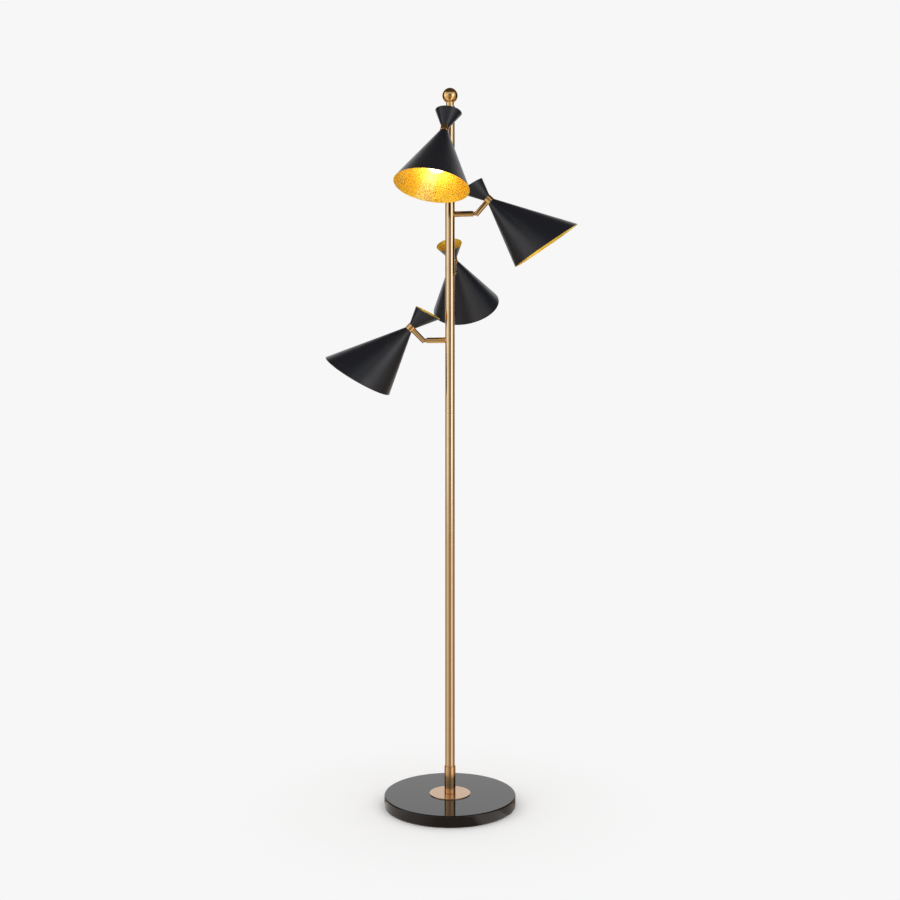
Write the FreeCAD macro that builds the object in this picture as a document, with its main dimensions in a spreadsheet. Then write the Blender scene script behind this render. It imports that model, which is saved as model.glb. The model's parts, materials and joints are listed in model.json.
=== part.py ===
# Tree floor lamp: a round stone base, a brass pole in two lengths, and four double-cone
# shades on short swivelling arms.  Millimetres, +Z up, the front of the lamp looks along -Y.
# The origin is the middle of the felt pad's underside, on the pole's axis.
import FreeCAD, Part
import math
import os
import re

import Sketcher
from FreeCAD import Placement, Rotation, Vector

HEADS = (1, 2, 3, 4)
SAME = 1e-4          # lengths closer than this are equal
LEAST_CUT = 1e-3     # a cut that removes less than this has missed
BLANK_STRETCH = 1.4  # a cone is turned this much too long, then its mouth is cut

# Driving dimensions in millimetres, angles in degrees.
SIZES = {
    # stone base and what holds the pole to it
    "pad_inset": 4.0,
    "pad_thickness": 1.0,
    "slab_diameter": 300.0,
    "slab_thickness": 25.0,
    "slab_edge_radius": 3.0,
    "slab_foot_bevel": 1.0,
    "recess_diameter": 64.0,
    "recess_depth": 13.0,
    "groove_width": 11.0,
    "groove_height": 11.0,
    "grommet_length": 12.0,
    "cord_hole_diameter": 7.0,
    "rod_diameter": 12.0,
    "rod_bore": 8.0,
    "rod_end": 1.0,
    "washer_diameter": 44.0,
    "washer_thickness": 2.0,
    "nut_across_flats": 19.0,
    "nut_height": 7.0,
    "plate_diameter": 94.0,
    "plate_thickness": 1.8,
    "plate_bevel": 0.6,
    # pole; the joint of its two lengths and the arms hang down from its top
    "pole_diameter": 22.0,
    "pole_wall": 1.5,
    "pole_top": 1601.0,
    "upper_length": 704.0,
    "joint_bevel": 0.4,
    "collar_wall": 1.75,
    "collar_height": 62.0,
    "collar_floor": 9.0,
    "collar_bevel": 0.6,
    "coupler_length": 60.0,
    "coupler_wall": 2.5,
    # finial
    "ball_diameter": 36.0,
    "finial_neck_diameter": 18.0,
    "finial_neck_height": 8.5,
    "finial_spigot_length": 14.0,
    "finial_stud_diameter": 6.0,
    "finial_stud_length": 10.0,
    # arms: each axis's drop below the top of the pole, and its direction from +X
    "arm_drop_1": 95.5,
    "arm_drop_2": 247.5,
    "arm_drop_3": 372.3,
    "arm_drop_4": 536.3,
    "arm_direction_1": -90.0,
    "arm_direction_2": 0.0,
    "arm_direction_3": 90.0,
    "arm_direction_4": 180.0,
    "arm_diameter": 13.0,
    "arm_wall": 1.5,
    "pivot_reach": 62.2,
    "nipple_bore": 5.0,
    "nipple_length_outside": 14.0,
    "saddle_margin": 2.05,
    # knuckles
    "flange_thickness": 1.5,
    "spigot_length": 12.0,
    "knuckle_gap": 1.3,
    "tongue_height": 9.0,
    "tongue_thickness": 4.5,
    "pin_diameter": 3.0,
    "pin_head_diameter": 5.2,
    "pin_head_height": 1.3,
    "pin_slot_width": 0.8,
    "stem_diameter": 12.0,
    "stem_bore": 6.0,
    "stem_overhang": 4.0,
    "stem_length": 41.2,
    "stem_spigot_diameter": 8.0,
    "stem_spigot_gap": 0.95,
    # pose of the heads: roll about the arm, tilt of the shade's axis below the horizontal
    "head_roll_1": -6.1,
    "head_roll_2": 8.0,
    "head_roll_3": -7.5,
    "head_roll_4": -5.0,
    "head_tilt_1": 62.0,
    "head_tilt_2": 42.5,
    "head_tilt_3": 38.5,
    "head_tilt_4": 44.2,
    # shades and the ring between them
    "ring_diameter": 20.0,
    "ring_length": 14.0,
    "ring_bevel": 0.6,
    "cone_half_angle": 24.66,
    "neck_margin": 2.1,
    "shade_wall": 1.0,
    "big_mouth_distance": 165.5,
    "big_mouth_slant": 14.1,
    "small_mouth_distance": 51.8,
    "small_mouth_slant": 16.6,
    "neck_nipple_diameter": 10.0,
    "neck_nipple_bore": 7.0,
    "ring_nut_diameter": 14.0,
    "ring_nut_height": 3.0,
    "nipple_projection": 1.5,
    # lampholder and bulb, measured from the middle of the ring
    "holder_start": 24.0,
    "holder_neck_diameter": 22.0,
    "holder_neck_length": 10.0,
    "holder_diameter": 27.0,
    "holder_length": 40.0,
    "holder_socket_diameter": 14.5,
    "cap_diameter": 13.8,
    "cap_length": 22.0,
    "cap_contact_height": 2.0,
    "cap_contact_diameter": 5.0,
    "glass_diameter": 45.0,
    "glass_neck_diameter": 17.0,
    "glass_length": 54.0,
    "glass_wall": 1.0,
    # wiring held inside the pole and arms
    "lead_diameter": 2.6,
    "lead_spacing": 3.0,
    "lead_bend_radius": 3.9,
    "lead_exit_radius": 4.2,
    "splice_drop": 51.0,
    "splice_length": 36.0,
    "lead_tail": 3.0,
    # clearances, on the radius or on one side
    "thread_clearance": 0.05,
    "fit_clearance": 0.05,
    "running_clearance": 0.05,
    "cheek_clearance": 0.15,
    "slot_clearance": 0.75,
    "seat_clearance": 0.1,
    "shaft_hole_clearance": 1.0,
    "wire_clearance": 0.4,
}

doc = FreeCAD.newDocument("FloorLamp")
sheet = doc.addObject("Spreadsheet::Sheet", "Sizes")
for row, (alias, number) in enumerate(SIZES.items(), start=1):
    sheet.set(f"A{row}", alias)
    sheet.set(f"B{row}", str(number))
    sheet.setAlias(f"B{row}", alias)
doc.recompute()

# Lengths worked out from the sheet, as expressions.
SLAB_TOP = "(pad_thickness + slab_thickness)"
JOINT = "(pole_top - upper_length)"
PLATE_TOP = f"({SLAB_TOP} + plate_thickness)"
POLE_FOOT = f"({PLATE_TOP} + collar_floor)"
POLE_RADIUS = "(pole_diameter / 2)"
POLE_BORE = "(pole_diameter / 2 - pole_wall)"
ROD_HOLE = "(rod_diameter / 2 + thread_clearance)"
RECESS_ROOF = "(pad_thickness + recess_depth)"
ARM_BORE = "(arm_diameter / 2 - arm_wall)"
NIPPLE_RADIUS = f"({ARM_BORE} - thread_clearance)"
BUNDLE_RADIUS = "(lead_spacing + lead_diameter / 2)"
# The fork's end swings clear of the flange.
TONGUE_REACH = "(sqrt(stem_overhang^2 + (stem_diameter / 2)^2) + knuckle_gap)"
FLANGE_BACK = f"(pivot_reach - {TONGUE_REACH} - flange_thickness)"
PIN_HOLE = "(pin_diameter / 2 + running_clearance)"
SLOT_BOTTOM = "(tongue_height / 2 + slot_clearance)"
RING_FACE = "(ring_length / 2)"
RING_BORE = "(neck_nipple_diameter / 2 + thread_clearance)"
NUT_FACE = f"({RING_FACE} + shade_wall)"
CONE_NECK = "(ring_nut_diameter / 2 + neck_margin)"
HOLDER_TOP = "(holder_start + holder_length)"
CAP_FOOT = f"({HOLDER_TOP} + seat_clearance - cap_length)"
GLASS_FOOT = f"({HOLDER_TOP} + seat_clearance)"


def bound(expression):
    """The expression with every name of the sheet written out in full."""
    def in_full(word):
        return f"Sizes.{word[0]}" if word[0] in SIZES else word[0]

    return re.sub(r"[a-z_][a-z_0-9]*", in_full, expression)


def size(expression):
    """The value of an expression of the sheet's names."""
    return float(sheet.evalExpression(bound(expression)))


def bind(thing, name, expression):
    thing.setExpression(name, bound(expression))


def new_body(label):
    body = doc.addObject("PartDesign::Body", label)
    body.Label = label
    return body


def new_sketch(body, role):
    """A sketch on the body's own XY_Plane, XZ_Plane or YZ_Plane."""
    plane = next(f for f in body.Origin.OriginFeatures if f.Role == role)
    sketch = body.newObject("Sketcher::SketchObject", f"{body.Name}_sketch")
    sketch.AttachmentSupport = (plane, [""])
    sketch.MapMode = "FlatFace"
    return sketch


def pin_point(sketch, edge, end, point):
    """Hold one end of an edge at a point given by two expressions."""
    for kind, axis, expression in (("DistanceX", -2, point[0]), ("DistanceY", -1, point[1])):
        if expression == "0":
            sketch.addConstraint(Sketcher.Constraint("PointOnObject", edge, end, axis))
        else:
            rule = Sketcher.Constraint(kind, -1, 1, edge, end, size(expression))
            bind(sketch, f"Constraints[{sketch.addConstraint(rule)}]", expression)


def outline(body, role, points, domes=()):
    """A closed outline; the edges numbered in domes are arcs centred on the vertical axis."""
    sketch = new_sketch(body, role)
    places = [Vector(size(x), size(y), 0) for x, y in points]
    for edge, start in enumerate(places):
        end = places[(edge + 1) % len(places)]
        if edge in domes:
            centre = (start.dot(start) - end.dot(end)) / (2 * (start.y - end.y))
            middle = Vector(0, centre, 0)
            angles = sorted(math.atan2(p.y - centre, p.x) for p in (start, end))
            circle = Part.Circle(middle, Vector(0, 0, 1), start.distanceToPoint(middle))
            sketch.addGeometry(Part.ArcOfCircle(circle, *angles), False)
            sketch.addConstraint(Sketcher.Constraint("PointOnObject", edge, 3, -2))
        else:
            sketch.addGeometry(Part.LineSegment(start, end), False)
    # An arc runs anticlockwise, so its first end is the lower one.
    ends = []
    for edge, start in enumerate(places):
        upward = places[(edge + 1) % len(places)].y > start.y
        ends.append((1, 2) if edge not in domes or upward else (2, 1))
    for edge, point in enumerate(points):
        before = edge - 1 if edge else len(points) - 1
        joined = Sketcher.Constraint("Coincident", before, ends[before][1], edge, ends[edge][0])
        sketch.addConstraint(joined)
        pin_point(sketch, edge, ends[edge][0], point)
    return sketch


def disc(body, role, centre, radius):
    """A sketch of one circle."""
    sketch = new_sketch(body, role)
    middle = Vector(size(centre[0]), size(centre[1]), 0)
    sketch.addGeometry(Part.Circle(middle, Vector(0, 0, 1), size(radius)), False)
    pin_point(sketch, 0, 3, centre)
    rule = sketch.addConstraint(Sketcher.Constraint("Radius", 0, size(radius)))
    bind(sketch, f"Constraints[{rule}]", radius)
    return sketch


def block(left, right, bottom, top):
    """The corners of a rectangle, given by four expressions."""
    return [(left, bottom), (right, bottom), (right, top), (left, top)]


def turned(label, points, domes=()):
    """A body turned about Z from an outline of radius and height."""
    body = new_body(label)
    spin(body, points, domes)
    return body


def spin(body, points, domes=()):
    """Add material turned about Z."""
    sketch = outline(body, "XZ_Plane", points, domes)
    feature = body.newObject("PartDesign::Revolution", f"{body.Name}_turned")
    feature.Profile = sketch
    feature.ReferenceAxis = (sketch, ["V_Axis"])
    feature.Angle = 360
    sketch.Visibility = False


def pad(body, sketch, length, both_sides=False):
    feature = body.newObject("PartDesign::Pad", f"{body.Name}_pad")
    feature.Profile = sketch
    feature.SideType = "Symmetric" if both_sides else "One side"
    bind(feature, "Length", length)


def cut(body, sketch, length="", reverse=False):
    """Cut a sketch out of the body: right through both ways, or to a length one way."""
    doc.recompute()
    before = body.Shape.Volume
    feature = body.newObject("PartDesign::Pocket", f"{body.Name}_cut")
    feature.Profile = sketch
    if length:
        feature.Reversed = reverse
        bind(feature, "Length", length)
    else:
        feature.SideType = "Symmetric"
        feature.Type = "ThroughAll"
    doc.recompute()
    if body.Shape.Volume > before - LEAST_CUT:
        raise RuntimeError(f"a cut in {body.Label} removes nothing")


def soften(body, kind, amount, radius, height):
    """Round or bevel the round edge of a radius at a height."""
    doc.recompute()
    tip = body.Tip
    for number, edge in enumerate(tip.Shape.Edges, start=1):
        ring = isinstance(edge.Curve, Part.Circle)
        if not ring or abs(edge.Curve.Radius - size(radius)) > SAME:
            continue
        if abs(edge.Curve.Center.z - size(height)) < SAME:
            feature = body.newObject(f"PartDesign::{kind}", f"{body.Name}_edge")
            feature.Base = (tip, [f"Edge{number}"])
            bind(feature, "Radius" if kind == "Fillet" else "Size", amount)
            return
    raise RuntimeError(f"{body.Label} has no such edge")


def group(label, things):
    """Identical pieces, kept as one sub-part of separate solids."""
    compound = doc.addObject("Part::Compound", label)
    compound.Label = label
    compound.Links = things
    return compound


# --- Frames ------------------------------------------------------------------------------

def axes_frame(origin, x_axis, z_axis):
    """A placement whose X and Z point along the two directions."""
    return Placement(origin, Rotation(x_axis, z_axis.cross(x_axis), z_axis, "ZXY"))


def arm_frame(head, roll=0.0):
    """On the pole's axis at an arm's height: Z along the arm, X upwards, turned by the roll."""
    angle = math.radians(size(f"arm_direction_{head}"))
    out = Vector(math.cos(angle), math.sin(angle), 0)
    up = Rotation(out, roll).multVec(Vector(0, 0, 1))
    return axes_frame(Vector(0, 0, size(f"pole_top - arm_drop_{head}")), up, out)


def stem_frame(head):
    """At a knuckle's pivot: Z along the stem, Y along the pin."""
    tilt = Rotation(Vector(0, 1, 0), 90 - size(f"head_tilt_{head}"))
    pivot = Placement(Vector(0, 0, size("pivot_reach")), tilt)
    return arm_frame(head, size(f"head_roll_{head}")) * pivot


def shade_frame(head):
    """In the middle of a neck ring: Z towards the big mouth, X away from the knuckle."""
    turn = Rotation(Vector(0, 0, 1), Vector(0, 1, 0), Vector(-1, 0, 0), "ZYX")
    return stem_frame(head) * Placement(Vector(0, 0, size("stem_length")), turn)


# --- Base --------------------------------------------------------------------------------

def make_base_pad():
    return turned("base_pad", block("0", "slab_diameter / 2 - pad_inset", "0", "pad_thickness"))


def make_base_slab():
    """Stone disc with a shaft hole, a recess below for the nut, and a groove for the cord."""
    slab = turned("base_slab", [
        (f"{ROD_HOLE} + shaft_hole_clearance", SLAB_TOP),
        (f"{ROD_HOLE} + shaft_hole_clearance", RECESS_ROOF),
        ("recess_diameter / 2", RECESS_ROOF),
        ("recess_diameter / 2", "pad_thickness"),
        ("slab_diameter / 2", "pad_thickness"),
        ("slab_diameter / 2", SLAB_TOP),
    ])
    soften(slab, "Fillet", "slab_edge_radius", "slab_diameter / 2", SLAB_TOP)
    soften(slab, "Chamfer", "slab_foot_bevel", "slab_diameter / 2", "pad_thickness")
    groove = outline(slab, "XZ_Plane", block(
        "-groove_width / 2", "groove_width / 2", "0", "pad_thickness + groove_height"))
    cut(slab, groove, "slab_diameter")
    return slab


def make_cord_grommet():
    """Block with a round hole that lines the mouth of the cord groove at the back."""
    grommet = new_body("cord_grommet")
    side = "groove_width / 2 - fit_clearance"
    middle = "pad_thickness + groove_height / 2"
    edge = "slab_diameter / 2 - slab_foot_bevel"
    face = outline(grommet, "XZ_Plane", block(
        f"-({side})", side, "pad_thickness + fit_clearance",
        "pad_thickness + groove_height - fit_clearance"))
    pad(grommet, face, "grommet_length")
    cut(grommet, disc(grommet, "XZ_Plane", ("0", middle), "cord_hole_diameter / 2"))
    bind(grommet, "Placement.Base.y", edge)
    return grommet


def make_base_washer():
    return turned("base_washer", block(
        ROD_HOLE, "washer_diameter / 2", f"{RECESS_ROOF} - washer_thickness", RECESS_ROOF))


def make_base_nut():
    nut = new_body("base_nut")
    corner = "nut_across_flats / 2 / cos(30)"
    sketch = outline(nut, "XY_Plane", [
        (f"{corner} * cos({60 * side})", f"{corner} * sin({60 * side})") for side in range(6)])
    pad(nut, sketch, "nut_height")
    cut(nut, disc(nut, "XY_Plane", ("0", "0"), ROD_HOLE))
    bind(nut, "Placement.Base.z", f"{RECESS_ROOF} - washer_thickness - nut_height")
    return nut


def make_base_rod():
    """Hollow threaded rod from the nut up into the floor of the collar."""
    return turned("base_rod", block(
        "rod_bore / 2", "rod_diameter / 2",
        f"{RECESS_ROOF} - washer_thickness - nut_height - rod_end", POLE_FOOT))


def make_base_plate():
    plate = turned("base_plate", block(ROD_HOLE, "plate_diameter / 2", SLAB_TOP, PLATE_TOP))
    soften(plate, "Chamfer", "plate_bevel", "plate_diameter / 2", PLATE_TOP)
    return plate


# --- Pole --------------------------------------------------------------------------------

def make_pole_collar():
    """Turned socket: its floor screws to the rod and the pole stands in its bore."""
    outside = f"{POLE_RADIUS} + fit_clearance + collar_wall"
    top = f"{PLATE_TOP} + collar_height"
    return turned("pole_collar", [
        (ROD_HOLE, PLATE_TOP),
        (f"{outside} - collar_bevel", PLATE_TOP),
        (outside, f"{PLATE_TOP} + collar_bevel"),
        (outside, f"{top} - collar_bevel"),
        (f"{outside} - collar_bevel", top),
        (f"{POLE_RADIUS} + fit_clearance", top),
        (f"{POLE_RADIUS} + fit_clearance", POLE_FOOT),
        (ROD_HOLE, POLE_FOOT),
    ])


def make_pole_lower():
    return turned("pole_lower", [
        (POLE_BORE, POLE_FOOT),
        (POLE_RADIUS, POLE_FOOT),
        (POLE_RADIUS, f"{JOINT} - joint_bevel"),
        (f"{POLE_RADIUS} - joint_bevel", JOINT),
        (POLE_BORE, JOINT),
    ])


def make_pole_coupler():
    """Threaded sleeve inside the joint of the two lengths."""
    outside = f"{POLE_BORE} - fit_clearance"
    return turned("pole_coupler", block(
        f"{outside} - coupler_wall", outside,
        f"{JOINT} - coupler_length / 2", f"{JOINT} + coupler_length / 2"))


def make_pole_upper():
    """Upper length, with a side hole for each arm."""
    pole = turned("pole_upper_blank", [
        (POLE_BORE, JOINT),
        (f"{POLE_RADIUS} - joint_bevel", JOINT),
        (POLE_RADIUS, f"{JOINT} + joint_bevel"),
        (POLE_RADIUS, "pole_top"),
        (POLE_BORE, "pole_top"),
    ])
    for head in HEADS:
        drill = doc.addObject("Part::Cylinder", f"arm_hole_{head}")
        bind(drill, "Radius", f"{NIPPLE_RADIUS} + fit_clearance")
        bind(drill, "Height", "pole_diameter")
        drill.Placement = arm_frame(head)
        drilled = doc.addObject("Part::Cut", f"pole_upper_drilled_{head}")
        drilled.Base = pole
        drilled.Tool = drill
        pole = drilled
    pole.Label = "pole_upper"
    return pole


def make_finial_neck():
    """Turned plug: spigot in the pole, a short neck, and a stud for the ball."""
    neck_top = "pole_top + finial_neck_height"
    spigot = f"{POLE_BORE} - fit_clearance"
    return turned("finial_neck", [
        ("0", "pole_top - finial_spigot_length"),
        (spigot, "pole_top - finial_spigot_length"),
        (spigot, "pole_top"),
        ("finial_neck_diameter / 2", "pole_top"),
        ("finial_neck_diameter / 2", neck_top),
        ("finial_stud_diameter / 2", neck_top),
        ("finial_stud_diameter / 2", f"{neck_top} + finial_stud_length"),
        ("0", f"{neck_top} + finial_stud_length"),
    ])


def make_finial_ball():
    """Ball with a flat on its underside that seats on the neck, drilled for the stud."""
    flat = "pole_top + finial_neck_height"
    rise = "sqrt((ball_diameter / 2)^2 - (finial_neck_diameter / 2)^2)"
    hole = "finial_stud_diameter / 2 + thread_clearance"
    depth = "finial_stud_length + shaft_hole_clearance"
    ball = [
        (hole, flat),
        ("finial_neck_diameter / 2", flat),
        ("0", f"{flat} + {rise} + ball_diameter / 2"),
        ("0", f"{flat} + {depth}"),
        (hole, f"{flat} + {depth}"),
    ]
    return turned("finial_ball", ball, domes=(1,))


# --- Arms --------------------------------------------------------------------------------

SADDLE_FACE = f"({BUNDLE_RADIUS} + wire_clearance)"


def make_arm_tube(head):
    """Arm tube, its inner end shaped to the pole."""
    arm = turned(f"arm_tube_{head}", block(
        ARM_BORE, "arm_diameter / 2", "0", f"{FLANGE_BACK} - seat_clearance"))
    cut(arm, disc(arm, "YZ_Plane", ("0", "0"), POLE_RADIUS))
    arm.Placement = arm_frame(head)
    return arm


def make_arm_nipple(head):
    """Hollow threaded nipple from the saddle nut through the pole wall into the arm."""
    nipple = turned(f"arm_nipple_{head}", block(
        "nipple_bore / 2", NIPPLE_RADIUS, SADDLE_FACE,
        f"{POLE_RADIUS} + nipple_length_outside"))
    nipple.Placement = arm_frame(head)
    return nipple


def make_saddle_nut(head):
    """Nut inside the pole: flat inside, curved outside to lie against the bore."""
    blank = new_body(f"saddle_blank_{head}")
    half = f"({NIPPLE_RADIUS} + saddle_margin)"
    outside = f"{POLE_BORE} - fit_clearance"
    pad(blank, disc(blank, "YZ_Plane", ("0", "0"), outside), f"2 * {half}", both_sides=True)
    waste = outline(blank, "YZ_Plane", block(
        "-pole_diameter", "pole_diameter", "-pole_diameter", SADDLE_FACE))
    cut(blank, waste)
    cut(blank, disc(blank, "XY_Plane", ("0", "0"), f"{NIPPLE_RADIUS} + thread_clearance"))
    # The sides are flats wherever the blank is wider than the nut.
    width = doc.addObject("Part::Box", f"saddle_width_{head}")
    bind(width, "Length", "pole_diameter")
    bind(width, "Width", f"2 * {half}")
    bind(width, "Height", "pole_diameter")
    width.Placement = Placement(Vector(-size(POLE_RADIUS), -size(half), 0), Rotation())
    nut = doc.addObject("Part::Common", f"saddle_nut_{head}")
    nut.Base = blank
    nut.Tool = width
    nut.Placement = arm_frame(head)
    return nut


def make_knuckle_root(head):
    """Brass plug that turns in the arm's end and carries the flat tongue of the knuckle."""
    root = turned(f"knuckle_root_{head}", [
        ("nipple_bore / 2", f"{FLANGE_BACK} - spigot_length"),
        (f"{ARM_BORE} - running_clearance", f"{FLANGE_BACK} - spigot_length"),
        (f"{ARM_BORE} - running_clearance", FLANGE_BACK),
        ("arm_diameter / 2", FLANGE_BACK),
        ("arm_diameter / 2", f"{FLANGE_BACK} + flange_thickness"),
        ("0", f"{FLANGE_BACK} + flange_thickness"),
        ("0", FLANGE_BACK),
        ("nipple_bore / 2", FLANGE_BACK),
    ])
    side = "tongue_height / 2"
    tongue = outline(root, "XZ_Plane", block(
        f"-{side}", side, f"{FLANGE_BACK} + flange_thickness / 2", "pivot_reach"))
    pad(root, tongue, "tongue_thickness", both_sides=True)
    end = disc(root, "XZ_Plane", ("0", "pivot_reach"), side)
    pad(root, end, "tongue_thickness", both_sides=True)
    cut(root, disc(root, "XZ_Plane", ("0", "pivot_reach"), PIN_HOLE))
    root.Placement = arm_frame(head, size(f"head_roll_{head}"))
    return root


def make_head_stem(head):
    """Tube from the knuckle to the neck ring: forked below, a spigot at the ring."""
    stem = turned(f"stem_blank_{head}", block(
        "0", "stem_diameter / 2", "-stem_overhang", "stem_length"))
    cut(stem, disc(stem, "YZ_Plane", ("0", "stem_length"), "ring_diameter / 2"))
    spigot_root = "stem_length - ring_diameter / 2"
    spin(stem, block("0", "stem_spigot_diameter / 2", f"{spigot_root} - ring_bevel",
                     f"stem_length - {RING_BORE} - stem_spigot_gap"))
    bore = disc(stem, "XY_Plane", ("0", "0"), "stem_bore / 2")
    cut(stem, bore, "stem_length", reverse=True)
    slot = "tongue_thickness / 2 + cheek_clearance"
    cut(stem, outline(stem, "YZ_Plane", block(
        f"-({slot})", slot, "-stem_length", SLOT_BOTTOM)))
    cut(stem, disc(stem, "XZ_Plane", ("0", "0"), "pin_diameter / 2"))
    head_seat = "stem_diameter / 2 - pin_head_height - pin_slot_width / 2"
    sink = doc.addObject("Part::Cylinder", f"pin_sink_{head}")
    bind(sink, "Radius", "pin_head_diameter / 2 + fit_clearance")
    bind(sink, "Height", "stem_diameter")
    sunk = doc.addObject("Part::Cut", f"head_stem_sunk_{head}")
    sunk.Base = stem
    sunk.Tool = sink
    sunk.Label = f"head_stem_{head}"
    across = Rotation(Vector(1, 0, 0), -90)
    sink.Placement = Placement(Vector(0, size(head_seat), 0), across)
    sunk.Placement = stem_frame(head)
    return sunk


def make_knuckle_screw(head):
    """Slotted shoulder screw through the fork and the tongue; the knuckle's pivot."""
    seat = "stem_diameter / 2 - pin_head_height - pin_slot_width / 2"
    screw = turned(f"knuckle_screw_{head}", [
        ("0", "-stem_diameter / 2 + cheek_clearance"),
        ("pin_diameter / 2", "-stem_diameter / 2 + cheek_clearance"),
        ("pin_diameter / 2", seat),
        ("pin_head_diameter / 2", seat),
        ("pin_head_diameter / 2", f"{seat} + pin_head_height"),
        ("0", f"{seat} + pin_head_height"),
    ])
    slot = outline(screw, "XZ_Plane", block(
        "-pin_slot_width / 2", "pin_slot_width / 2",
        f"{seat} + pin_head_height / 2", f"{seat} + 2 * pin_head_height"))
    cut(screw, slot)
    across = Rotation(Vector(1, 0, 0), -90)
    screw.Placement = stem_frame(head) * Placement(Vector(), across)
    return screw


# --- Heads -------------------------------------------------------------------------------

def make_neck_ring(head):
    """Brass ring between the two cones, with a side hole for the stem."""
    outside = "ring_diameter / 2"
    ring = turned(f"neck_ring_{head}", [
        (RING_BORE, f"-{RING_FACE}"),
        (f"{outside} - ring_bevel", f"-{RING_FACE}"),
        (outside, f"-{RING_FACE} + ring_bevel"),
        (outside, f"{RING_FACE} - ring_bevel"),
        (f"{outside} - ring_bevel", RING_FACE),
        (RING_BORE, RING_FACE),
    ])
    hole = disc(ring, "YZ_Plane", ("0", "0"), "stem_spigot_diameter / 2 + thread_clearance")
    cut(ring, hole, "ring_diameter")
    ring.Placement = shade_frame(head)
    return ring


def make_neck_nipple(head):
    """Hollow nipple through the ring, and a round nut inside the neck of each cone."""
    back = f"{NUT_FACE} + ring_nut_height + nipple_projection"
    nipple = turned(f"neck_tube_{head}", block(
        "neck_nipple_bore / 2", "neck_nipple_diameter / 2",
        f"-({back})", "holder_start + holder_neck_length - nipple_projection"))
    nuts = [
        turned(f"{side}_nut_{head}", block(RING_BORE, "ring_nut_diameter / 2", low, high))
        for side, low, high in (
            ("small", f"-({NUT_FACE} + ring_nut_height)", f"-{NUT_FACE}"),
            ("big", NUT_FACE, f"{NUT_FACE} + ring_nut_height"))
    ]
    for piece in (nipple, *nuts):
        piece.Placement = shade_frame(head)
    return group(f"neck_nipple_{head}", [nipple, *nuts])


def make_shade(head, label, distance, slant, side):
    """Spun cone with a closed neck; its mouth is cut on the slant.  side is 1 for the big
    cone and -1 for the small one, which is made pointing up and then turned round."""
    grow = "tan(cone_half_angle)"
    thick = "shade_wall / cos(cone_half_angle)"
    far = f"({distance} * {BLANK_STRETCH})"
    far_radius = f"({CONE_NECK} + ({far} - {RING_FACE}) * {grow})"
    shade = turned(label, [
        (RING_BORE, RING_FACE),
        (CONE_NECK, RING_FACE),
        (far_radius, far),
        (f"{far_radius} - {thick}", far),
        (f"{CONE_NECK} + shade_wall * {grow} - {thick}", NUT_FACE),
        (RING_BORE, NUT_FACE),
    ])
    # The high side of the slanted mouth is away from the knuckle on the big cone, and on
    # the knuckle's side on the small one, so the two mouths are near parallel.
    reach = f"(2 * {far_radius})"
    rise = f"{reach} * tan({slant})"
    waste = outline(shade, "XZ_Plane", [
        (f"-{reach}", f"{distance} - {rise}"),
        (reach, f"{distance} + {rise}"),
        (reach, f"{distance} + {rise} + {far}"),
        (f"-{reach}", f"{distance} + {rise} + {far}"),
    ])
    cut(shade, waste)
    turn = Rotation(Vector(0, 1, 0), 0 if side > 0 else 180)
    shade.Placement = shade_frame(head) * Placement(Vector(), turn)
    return shade


def make_lampholder(head):
    """Small screw lampholder on the end of the nipple."""
    holder = turned(f"lampholder_{head}", [
        (RING_BORE, "holder_start"),
        ("holder_neck_diameter / 2", "holder_start"),
        ("holder_neck_diameter / 2", "holder_start + holder_neck_length - nipple_projection"),
        ("holder_diameter / 2", "holder_start + holder_neck_length"),
        ("holder_diameter / 2", HOLDER_TOP),
        ("holder_socket_diameter / 2", HOLDER_TOP),
        ("holder_socket_diameter / 2", "holder_start + holder_neck_length"),
        (RING_BORE, "holder_start + holder_neck_length"),
    ])
    holder.Placement = shade_frame(head)
    return holder


def make_bulb_cap(head):
    """Screw cap with its centre contact."""
    cap = turned(f"bulb_cap_{head}", [
        ("0", CAP_FOOT),
        ("cap_contact_diameter / 2", CAP_FOOT),
        ("cap_diameter / 2", f"{CAP_FOOT} + cap_contact_height"),
        ("cap_diameter / 2", GLASS_FOOT),
        ("0", GLASS_FOOT),
    ])
    cap.Placement = shade_frame(head)
    return cap


def make_bulb_glass(head):
    """Hollow golf-ball glass: a short neck, a 45 degree shoulder and a sphere."""
    middle = f"({GLASS_FOOT} + glass_length - glass_diameter / 2)"

    def envelope(inset, foot):
        ball = f"(glass_diameter / 2 - {inset})"
        neck = f"(glass_neck_diameter / 2 - {inset})"
        shoulder = f"({ball} * cos(45))"
        return [
            ("0", foot),
            (neck, foot),
            (neck, f"{middle} - {shoulder} - ({shoulder} - {neck})"),
            (shoulder, f"{middle} - {shoulder}"),
            ("0", f"{middle} + {ball}"),
        ]

    glass = turned(f"bulb_glass_{head}", envelope("0", GLASS_FOOT), domes=(3,))
    hollow = outline(glass, "XZ_Plane", envelope(
        "glass_wall", f"({GLASS_FOOT} + glass_wall)"), domes=(3,))
    groove = glass.newObject("PartDesign::Groove", f"{glass.Name}_hollow")
    groove.Profile = hollow
    groove.ReferenceAxis = (hollow, ["V_Axis"])
    groove.Angle = 360
    glass.Placement = shade_frame(head)
    return glass


# --- Wiring ------------------------------------------------------------------------------

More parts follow.
